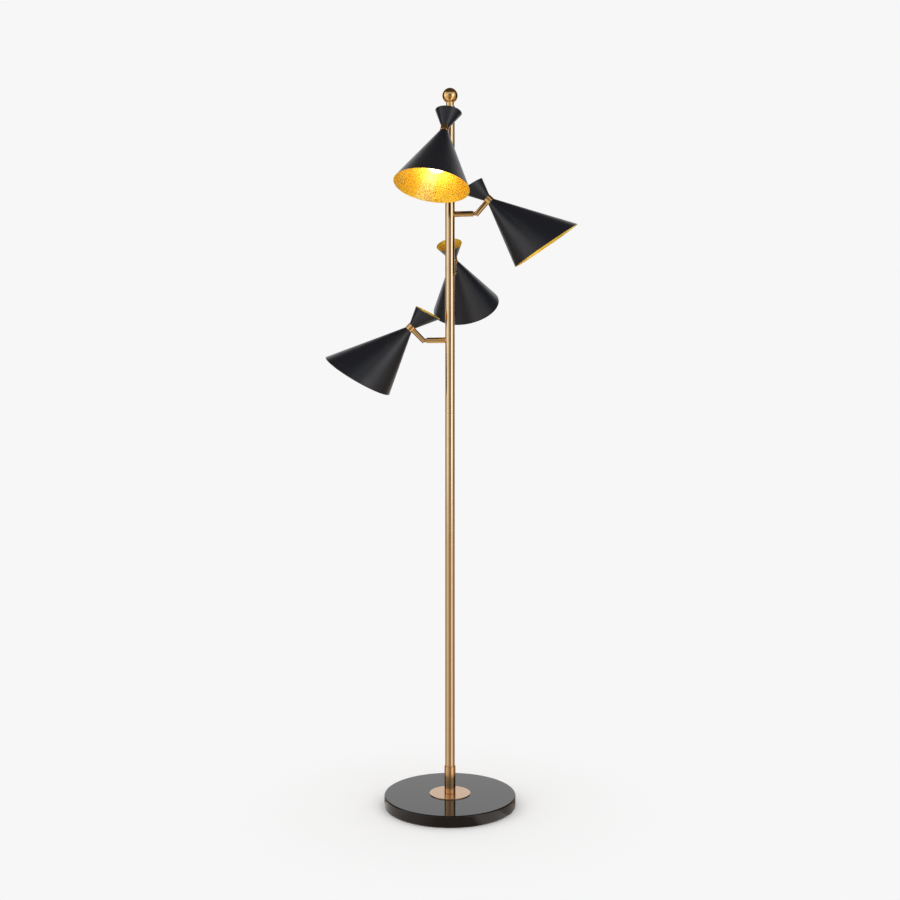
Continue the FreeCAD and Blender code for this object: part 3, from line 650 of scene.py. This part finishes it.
def make_pole():
    low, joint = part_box("pole_lower")
    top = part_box("pole_upper")[1]
    radius = joint.x
    bore = radius - pole_wall
    lower = turned("pole_lower_tube", [
        (bore, low.z), (radius, low.z), (radius, joint.z - joint_bevel),
        (radius - joint_bevel, joint.z), (bore, joint.z)], 96)
    soften(lower, 0)
    fit(lower, "stand", "pole_lower", "brushed_brass", brass)
    # Extra rings beside each side hole keep the long faces plain.
    beside = [arm_frame(head).translation.z + side * 2 * side_hole_radius
              for head in reversed(HEADS) for side in (-1, 1)]
    upper = turned("pole_upper_tube", [
        (bore, joint.z), (radius - joint_bevel, joint.z), (radius, joint.z + joint_bevel),
        *[(radius, height) for height in beside], (radius, top.z), (bore, top.z),
        *[(bore, height) for height in reversed(beside)]], 96)
    for head in HEADS:
        at_arm = arm_frame(head)
        cut_away(upper, round_tool(side_hole_radius, 2 * radius,
                                   at_arm @ Vector((0, 0, radius)), at_arm.to_euler()))
    soften(upper, 0)
    fit(upper, "stand", "pole_upper", "brushed_brass", brass)


make_pole()

# ---- Finial ------------------------------------------------------------------------------
# A turned plug in the top of the pole carries a brass ball, which screws on to its stud.
finial_neck_radius = 9 * MM
stud_radius = 3 * MM
stud_relief = 1 * MM


def make_finial():
    low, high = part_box("finial_neck")
    pole_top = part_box("pole_upper")[1].z
    ball_low, ball_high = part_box("finial_ball")
    flat = ball_low.z
    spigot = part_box("pole_upper")[1].x - pole_wall - pole_clearance
    neck = turned("finial_plug", [
        (spigot, low.z), (spigot, pole_top), (finial_neck_radius, pole_top),
        (finial_neck_radius, flat), (stud_radius, flat), (stud_radius, high.z)],
        72, ends="capped")
    soften(neck, 0.25 * MM)
    fit(neck, "stand", "finial_neck", "brushed_brass", gold_brass)
    radius = ball_high.x
    bpy.ops.object.select_all(action="DESELECT")
    bpy.ops.mesh.primitive_uv_sphere_add(segments=96, ring_count=48, radius=radius,
                                         location=(0, 0, ball_high.z - radius))
    ball = bpy.context.object
    ball.name = "finial_knob"
    bpy.ops.object.transform_apply(location=True, rotation=True, scale=True)
    bpy.ops.object.mode_set(mode="EDIT")
    bpy.ops.mesh.select_all(action="SELECT")
    bpy.ops.mesh.bisect(plane_co=(0, 0, flat), plane_no=(0, 0, -1), clear_outer=True,
                        use_fill=True)
    bpy.ops.object.mode_set(mode="OBJECT")
    depth = high.z - flat + stud_relief
    cut_away(ball, round_tool(stud_radius + pole_clearance, 2 * depth, (0, 0, flat)))
    soften(ball, 0)
    fit(ball, "stand", "finial_ball", "brushed_brass", gold_brass)


make_finial()

# ---- Arms --------------------------------------------------------------------------------
# Short brass tubes, each coped to the pole and held from inside by a nipple and a nut.
arm_wall = 1.5 * MM


def copy_to_heads(piece, place_of, body, node_name, slot, *finishes):
    """Fit a copy of a piece, with a mesh of its own, at each of the four heads."""
    for head in HEADS:
        twin = bpy.data.objects.new(f"{piece.name}_{head}", piece.data.copy())
        bpy.context.scene.collection.objects.link(twin)
        fit(twin, body.format(head), node_name.format(head), slot, *finishes,
            place=place_of(head))
    bpy.data.objects.remove(piece)


def make_arms():
    low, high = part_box("arm_tube_2")
    radius = (high.z - low.z) / 2
    bore = radius - arm_wall
    pole_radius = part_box("pole_upper")[1].x
    arm = turned("arm", [(bore, 0), (radius, 0), (radius, high.x), (bore, high.x)], 64)
    cut_away(arm, round_tool(pole_radius, 4 * radius, (0, 0, 0), (0, math.pi / 2, 0), 96))
    soften(arm, 0.2 * MM)
    copy_to_heads(arm, arm_frame, "stand", "arm_tube_{}", "brushed_brass", gold_brass)


make_arms()

# ---- Knuckles ----------------------------------------------------------------------------
# A plug turns in the arm's end and holds a flat tongue.  The stem's fork closes round it on
# a slotted shoulder screw, and the stem's other end is coped to the neck ring.
seat_clearance = 0.1 * MM
flange_thickness = 1.5 * MM
plug_length = 12 * MM
wire_bore_radius = 2.5 * MM
tongue_height = 9 * MM
tongue_thickness = 4.5 * MM
pin_radius = 1.5 * MM
screw_head_radius = 2.6 * MM
screw_head_height = 1.3 * MM
screw_slot = 0.8 * MM
screw_set_back = 0.15 * MM
stem_radius = 6 * MM
stem_overhang = 4 * MM
stem_bore_radius = 3 * MM
stem_length = 41.2 * MM
stem_spigot_radius = 4 * MM
stem_spigot_end = 35.2 * MM
slot_half_width = 2.4 * MM
slot_bottom = 5.25 * MM
ring_radius = 10 * MM
running_clearance = 0.05 * MM
screw_seat = stem_radius - screw_head_height - screw_slot / 2
ALONG_X = (0, math.pi / 2, 0)
ALONG_Y = (math.pi / 2, 0, 0)


def knuckle(head):
    """The pivot, and the directions of its screw, its stem and the big mouth."""
    pivot = Vector(hinges[f"head_tilt_{head}"]["pos_m"])
    screw = -Vector(hinges[f"head_tilt_{head}"]["axis"])
    low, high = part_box(f"neck_ring_{head}")
    stem = (low + high) / 2 - pivot
    stem = (stem - screw * stem.dot(screw)).normalized()
    return pivot, screw, stem, stem.cross(screw)


def frame_at(place, x_axis, y_axis, z_axis):
    turn = Matrix((x_axis, y_axis, z_axis)).transposed().to_4x4()
    return Matrix.Translation(place) @ turn


def root_frame(head):
    """On the pole's axis at an arm's height: Z along the arm, Y along the screw."""
    pivot, screw, *_ = knuckle(head)
    out = Vector(hinges[f"arm_roll_{head}"]["axis"])
    return frame_at(Vector((0, 0, pivot.z)), screw.cross(out), screw, out)


def stem_frame(head):
    """At the pivot: Z along the stem, Y along the screw towards its head."""
    pivot, screw, stem, mouth = knuckle(head)
    return frame_at(pivot, -mouth, screw, stem)


def ring_frame(head):
    """In the middle of the neck ring: Z towards the big mouth, X away from the knuckle."""
    pivot, screw, stem, mouth = knuckle(head)
    return frame_at(pivot + stem * stem_length, stem, screw, mouth)


def make_knuckle_plugs():
    reach = Vector(hinges["head_tilt_2"]["pos_m"]).x
    low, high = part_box("arm_tube_2")
    radius = (high.z - low.z) / 2
    back = high.x + seat_clearance
    face = back + flange_thickness
    plug_radius = radius - arm_wall - running_clearance
    root = turned("knuckle_plug", [
        (wire_bore_radius, back - plug_length), (plug_radius, back - plug_length),
        (plug_radius, back), (radius, back), (radius, face), (wire_bore_radius, face)], 64)
    foot = back + flange_thickness / 2
    cut_away(root, square_tool((tongue_height, tongue_thickness, reach - foot),
                               (0, 0, (reach + foot) / 2)), "UNION")
    cut_away(root, round_tool(tongue_height / 2, tongue_thickness, (0, 0, reach), ALONG_Y),
             "UNION")
    cut_away(root, round_tool(pin_radius + running_clearance, 2 * tongue_height,
                              (0, 0, reach), ALONG_Y, 32))
    soften(root, 0.2 * MM)
    copy_to_heads(root, root_frame, "swivel_{}", "knuckle_root_{}", "brushed_brass",
                  gold_brass)


def make_stems():
    stem = turned("stem", [(stem_radius, -stem_overhang), (stem_radius, stem_length)], 64,
                  ends="capped")
    cut_away(stem, round_tool(ring_radius, 4 * stem_radius, (0, 0, stem_length), ALONG_X, 96))
    spigot_foot = stem_length - ring_radius - stem_radius / 2
    cut_away(stem, round_tool(stem_spigot_radius, stem_spigot_end - spigot_foot,
                              (0, 0, (stem_spigot_end + spigot_foot) / 2)), "UNION")
    cut_away(stem, round_tool(stem_bore_radius, stem_length, (0, 0, stem_length / 2)))
    cut_away(stem, square_tool((4 * stem_radius, 2 * slot_half_width, 4 * slot_bottom),
                               (0, 0, -slot_bottom)))
    cut_away(stem, round_tool(pin_radius, 4 * stem_radius, (0, 0, 0), ALONG_Y, 32))
    cut_away(stem, round_tool(screw_head_radius + running_clearance, 2 * stem_radius,
                              (0, screw_seat + stem_radius, 0), ALONG_Y, 48))
    soften(stem, 0.2 * MM)
    copy_to_heads(stem, stem_frame, "head_{}", "head_stem_{}", "brushed_brass",
                  gold_brass)


def make_pivot_screws():
    top = screw_seat + screw_head_height
    screw = turned("pivot_screw", [
        (pin_radius, screw_set_back - stem_radius), (pin_radius, screw_seat),
        (screw_head_radius, screw_seat), (screw_head_radius, top)], 48, ends="capped")
    cut_away(screw, square_tool((screw_slot, 4 * screw_head_radius, screw_head_height),
                                (0, 0, top)))
    soften(screw, 0.12 * MM)
    across = Matrix.Rotation(-math.pi / 2, 4, "X")
    copy_to_heads(screw, lambda head: stem_frame(head) @ across, "head_{}",
                  "knuckle_screw_{}", "brushed_brass", gold_brass)


make_knuckle_plugs()
make_stems()
make_pivot_screws()

# ---- Neck rings --------------------------------------------------------------------------
# A plain turned brass ring joins the two cones of each shade and takes the stem at its side.
ring_half = 7 * MM
ring_bore = 5.05 * MM
ring_bevel = 0.6 * MM


def make_neck_rings():
    ring = turned("ring", [
        (ring_bore, -ring_half), (ring_radius - ring_bevel, -ring_half),
        (ring_radius, ring_bevel - ring_half), (ring_radius, ring_half - ring_bevel),
        (ring_radius - ring_bevel, ring_half), (ring_bore, ring_half)], 96)
    cut_away(ring, round_tool(stem_spigot_radius + running_clearance, ring_radius,
                              (-ring_radius, 0, 0), ALONG_X, 48))
    soften(ring, 0.15 * MM)
    copy_to_heads(ring, ring_frame, "head_{}", "neck_ring_{}", "brushed_brass",
                  gold_brass)


make_neck_rings()

# ---- Shades ------------------------------------------------------------------------------
# Two cones of spun steel to a shade, each closed at the neck and cut on the slant at the
# mouth.  Outside they are satin black enamel; inside, gold leaf is laid on by hand.
shade_wall = 1 * MM
neck_outer = 9.1 * MM
cone_slope = math.tan(math.radians(24.66))
big_mouth = 165.5 * MM
big_slant = math.tan(math.radians(14.1))
small_mouth = 51.8 * MM
small_slant = math.tan(math.radians(16.6))
blank_stretch = 1.4
enamel_even = (0.010, 0.011, 0.015)
enamel_black = (0.009, 0.0098, 0.0145)
enamel_dust = (0.016, 0.017, 0.022)
leaf_even = (1.0, 0.72, 0.12)
leaf_pale = (1.0, 0.80, 0.13)
leaf_deep = (0.90, 0.49, 0.006)
# the cream of the painted sheen streaks down the leaf
leaf_painted_sheen = (1.0, 0.90, 0.52)


def make_enamel():
    """Satin black enamel, with the fine skin that a sprayed coat dries to."""
    finish, tree, shader = new_finish("satin black enamel", enamel_even, 0.36)
    place = own_place(tree)
    marks = handled(tree, place, 18)
    plug(tree,
         (blend_colours(tree, marks["Dust"], enamel_black, enamel_dust),
          shader.inputs["Base Color"]),
         (ramp(tree, marks["Smudge"], 0, 1, 0.32, 0.40), shader.inputs["Roughness"]),
         (bump(tree, noise(tree, place, 1500), 0.03 * MM, 0.6), shader.inputs["Normal"]))
    return finish


def make_gold_leaf():
    """Gold leaf: creased strokes round the cone, paler streaks of painted sheen down it,
    deeper overlaps.
    """
    finish, tree, shader = new_finish("gold leaf", leaf_even, 0.3, metallic=0.65)
    place = own_place(tree)
    stretch = node(tree, "ShaderNodeVectorMath", operation="MULTIPLY")
    stretch.inputs[1].default_value = (38, 38, 420)
    level = node(tree, "ShaderNodeVectorMath", operation="MULTIPLY")
    level.inputs[1].default_value = (1, 1, 0)
    around = node(tree, "ShaderNodeVectorMath", operation="NORMALIZE")
    squares = node(tree, "ShaderNodeTexVoronoi", distance="CHEBYCHEV")
    squares.inputs["Scale"].default_value = 22
    plug(tree,
         (place, stretch.inputs[0]),
         (place, level.inputs[0]),
         (level.outputs["Vector"], around.inputs[0]),
         (place, squares.inputs["Vector"]))
    strokes = noise(tree, stretch.outputs["Vector"], 1, detail=5, distortion=1.6)
    # Paler streaks down the cone are a painted sheen.
    painted_sheen_streaks = noise(tree, around.outputs["Vector"], 1.7, detail=2, distortion=0.3)
    crinkle = noise(tree, place, 260, detail=5, distortion=1.2)
    tone = node(tree, "ShaderNodeMath", operation="MULTIPLY_ADD")
    tone.inputs[1].default_value = 0.8
    relief = node(tree, "ShaderNodeMath", operation="MULTIPLY_ADD")
    relief.inputs[1].default_value = 0.15
    leaf = blend_colours(tree, tone.outputs["Value"], leaf_pale, leaf_deep)
    plug(tree,
         (strokes, tone.inputs[0]),
         (ramp(tree, squares.outputs["Color"], 0, 1, 0, 0.3), tone.inputs[2]),
         (crinkle, relief.inputs[0]),
         (strokes, relief.inputs[2]),
         (blend_colours(tree, ramp(tree, painted_sheen_streaks, 0.50, 0.70, 0, 0.6), leaf, leaf_painted_sheen),
          shader.inputs["Base Color"]),
         (ramp(tree, crinkle, 0.3, 0.7, 0.20, 0.40), shader.inputs["Roughness"]),
         (bump(tree, relief.outputs["Value"], 1.6 * MM, 0.7), shader.inputs["Normal"]))
    return finish


enamel = make_enamel()
gold_leaf = make_gold_leaf()


def make_cone(name, mouth, slant, turn, cad_node):
    """Spin a cone past its mouth, give it its wall, then cut the mouth on the slant."""
    far = blank_stretch * mouth
    cone = turned(name, [
        (ring_bore, ring_half), (neck_outer, ring_half),
        (neck_outer + (far - ring_half) * cone_slope, far)], 160, ends="open")
    cone.data.materials.append(enamel)
    cone.data.materials.append(gold_leaf)
    apply_modifier(cone, "wall", "SOLIDIFY", thickness=shade_wall, offset=-1,
                   use_even_offset=True, material_offset=1)
    bpy.ops.object.mode_set(mode="EDIT")
    bpy.ops.mesh.select_all(action="SELECT")
    bpy.ops.mesh.bisect(plane_co=(0, 0, mouth), plane_no=(-slant, 0, 1), clear_outer=True)
    bpy.ops.mesh.select_all(action="DESELECT")
    bpy.ops.mesh.select_mode(type="EDGE")
    bpy.ops.mesh.select_non_manifold()
    bpy.ops.mesh.bridge_edge_loops()
    bpy.ops.mesh.select_mode(type="VERT")
    bpy.ops.object.mode_set(mode="OBJECT")
    # The leaf is turned over the cut edge.
    for face in cone.data.polygons:
        corners = [cone.data.vertices[v].co for v in face.vertices]
        if all(abs(c.z - mouth - c.x * slant) < same_place for c in corners):
            face.material_index = 1
    soften(cone, 0.2 * MM)
    copy_to_heads(cone, lambda head: ring_frame(head) @ turn, "head_{}", cad_node,
                  "shade_enamel")


make_cone("big_cone", big_mouth, big_slant, Matrix(), "shade_big_{}")
make_cone("small_cone", small_mouth, small_slant, Matrix.Rotation(math.pi, 4, "Y"),
          "shade_small_{}")

# ---- Lampholders and bulbs ---------------------------------------------------------------
# A moulded lampholder screws on to the nipple inside each big cone and takes a small opal
# glass bulb with a rolled screw cap.
holder_foot = 24 * MM
holder_neck_radius = 11 * MM
holder_neck_top = 32.5 * MM
holder_shoulder = 34 * MM
holder_radius = 13.5 * MM
holder_top = 64 * MM
holder_socket_radius = 7.25 * MM
holder_grooves = 4
groove_depth = 0.4 * MM
cap_foot = 42.1 * MM
cap_top = 64.1 * MM
cap_radius = 6.9 * MM
cap_thread_depth = 0.5 * MM
cap_thread_pitch = 2.8 * MM
cap_threads = 4
contact_radius = 2.5 * MM
contact_height = 2 * MM
glass_neck_radius = 8.5 * MM
glass_radius = 22.5 * MM
glass_length = 54 * MM
glass_tip_radius = 0.4 * MM
bulb_glow = (1.0, 0.82, 0.60)
bulb_glow_thick = (1.0, 0.88, 0.70)
bulb_brightness = 5.2


def make_holder_plastic():
    """Black moulded plastic, faintly pebbled."""
    finish, tree, shader = new_finish("holder plastic", (0.02, 0.02, 0.02), 0.45)
    place = own_place(tree)
    marks = handled(tree, place, 70)
    plug(tree,
         (ramp(tree, marks["Smudge"], 0, 1, 0.38, 0.5), shader.inputs["Roughness"]),
         (blend_colours(tree, marks["Dust"], (0.018, 0.018, 0.018), (0.04, 0.04, 0.038)),
          shader.inputs["Base Color"]),
         (bump(tree, noise(tree, place, 1100, 2), 0.05 * MM), shader.inputs["Normal"]))
    return finish


def make_holders():
    pitch = (holder_top - holder_shoulder) / (2 * holder_grooves + 1)
    skirt = []
    for groove in range(2 * holder_grooves + 1):
        radius = holder_radius - (groove_depth if groove % 2 else 0)
        skirt += [(radius, holder_shoulder + groove * pitch + groove_depth),
                  (radius, holder_shoulder + (groove + 1) * pitch - groove_depth)]
    holder = turned("holder", [
        (ring_bore, holder_foot), (holder_neck_radius, holder_foot),
        (holder_neck_radius, holder_neck_top), *skirt, (holder_radius, holder_top),
        (holder_socket_radius, holder_top), (holder_socket_radius, holder_shoulder),
        (ring_bore, holder_shoulder)], 64)
    soften(holder, 0.15 * MM)
    copy_to_heads(holder, ring_frame, "head_{}", "lampholder_{}", "holder_plastic",
                  make_holder_plastic())


def make_cap_metal():
    """Nickelled cap, worn a little yellow where the thread rubs."""
    finish, tree, shader = new_finish("bulb cap nickel", (0.62, 0.60, 0.56), 0.28, 1.0)
    place = own_place(tree)
    marks = handled(tree, place, 120)
    plug(tree,
         (blend_colours(tree, marks["Smudge"], (0.64, 0.63, 0.60), (0.55, 0.47, 0.33)),
          shader.inputs["Base Color"]),
         (ramp(tree, marks["Smudge"], 0, 1, 0.2, 0.4), shader.inputs["Roughness"]))
    return finish


def make_caps():
    thread_foot = cap_foot + contact_height
    rolls = []
    for turn in range(cap_threads):
        height = thread_foot + (turn + 1) * cap_thread_pitch
        for step in range(8):
            wave = 2 * math.pi * step / 8
            rolls.append((cap_radius - cap_thread_depth * (1 - math.cos(wave)) / 2,
                          height + cap_thread_pitch * step / 8))
    cap = turned("cap", [
        (contact_radius, cap_foot), (cap_radius, thread_foot), *rolls,
        (cap_radius, cap_top)], 64, ends="capped")
    soften(cap, 0)
    copy_to_heads(cap, ring_frame, "head_{}", "bulb_cap_{}", "bulb_cap", make_cap_metal())


def make_opal_glass():
    """Opal glass lit from within, a little paler where the coating is thick."""
    finish, tree, shader = new_finish("opal bulb glass", (0.95, 0.93, 0.88), 0.35)
    shader.inputs["Emission Strength"].default_value = bulb_brightness
    coat = noise(tree, own_place(tree), 45, 3)
    plug(tree, (blend_colours(tree, coat, bulb_glow, bulb_glow_thick),
                shader.inputs["Emission Color"]))
    return finish


def make_bulbs():
    middle = cap_top + glass_length - glass_radius
    start = math.pi / 4                      # the shoulder meets the ball at 45 degrees
    shoulder = glass_radius * math.sin(start)
    ball = []
    steps = 30
    stop = math.pi - math.asin(glass_tip_radius / glass_radius)
    for step in range(steps + 1):
        angle = start + (stop - start) * step / steps
        ball.append((glass_radius * math.sin(angle), middle - glass_radius * math.cos(angle)))
    neck_top = middle - shoulder - (shoulder - glass_neck_radius)
    bulb = turned("bulb", [(glass_neck_radius, cap_top), (glass_neck_radius, neck_top), *ball],
                  72, ends="capped")
    soften(bulb, 0.6 * MM, 3)
    copy_to_heads(bulb, ring_frame, "head_{}", "bulb_glass_{}", "bulb_glass",
                  make_opal_glass())


make_holders()
make_caps()
make_bulbs()

# ---- Hidden hardware and wiring ----------------------------------------------------------
# Zinc-plated nuts, washer, rod, sleeve and nipples hold the lamp together from inside, and
# the leads run up the pole from a splice block.  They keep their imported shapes.


def make_zinc():
    """Bright zinc plate: faint crystal patches and a bluish-yellow tinge."""
    finish, tree, shader = new_finish("zinc plate", (0.60, 0.60, 0.58), 0.35, 1.0)
    place = node(tree, "ShaderNodeTexCoord").outputs["Object"]
    marks = handled(tree, place, 90)
    plug(tree,
         (blend_colours(tree, marks["Smudge"], (0.62, 0.63, 0.64), (0.60, 0.57, 0.46)),
          shader.inputs["Base Color"]),
         (ramp(tree, noise(tree, place, 300, 4), 0.3, 0.7, 0.28, 0.5),
          shader.inputs["Roughness"]))
    return finish


def make_insulation():
    """Soft vinyl, dulled by talc."""
    finish, tree, shader = new_finish("lead insulation", (0.80, 0.78, 0.72), 0.5)
    place = node(tree, "ShaderNodeTexCoord").outputs["Object"]
    marks = handled(tree, place, 120)
    plug(tree,
         (blend_colours(tree, marks["Smudge"], (0.78, 0.76, 0.70), (0.85, 0.83, 0.78)),
          shader.inputs["Base Color"]),
         (ramp(tree, marks["Dust"], 0, 1, 0.45, 0.7), shader.inputs["Roughness"]))
    return finish


def finish_hardware():
    zinc = make_zinc()
    plated = ["base_washer", "base_nut", "base_rod", "pole_coupler", "arm_nipples",
              "saddle_nuts", *(f"neck_nipple_{head}" for head in HEADS)]
    for name in plated:
        frame["nodes"][name].material_slots[0].material = zinc
    frame["nodes"]["pole_wiring"].material_slots[0].material = make_insulation()


finish_hardware()
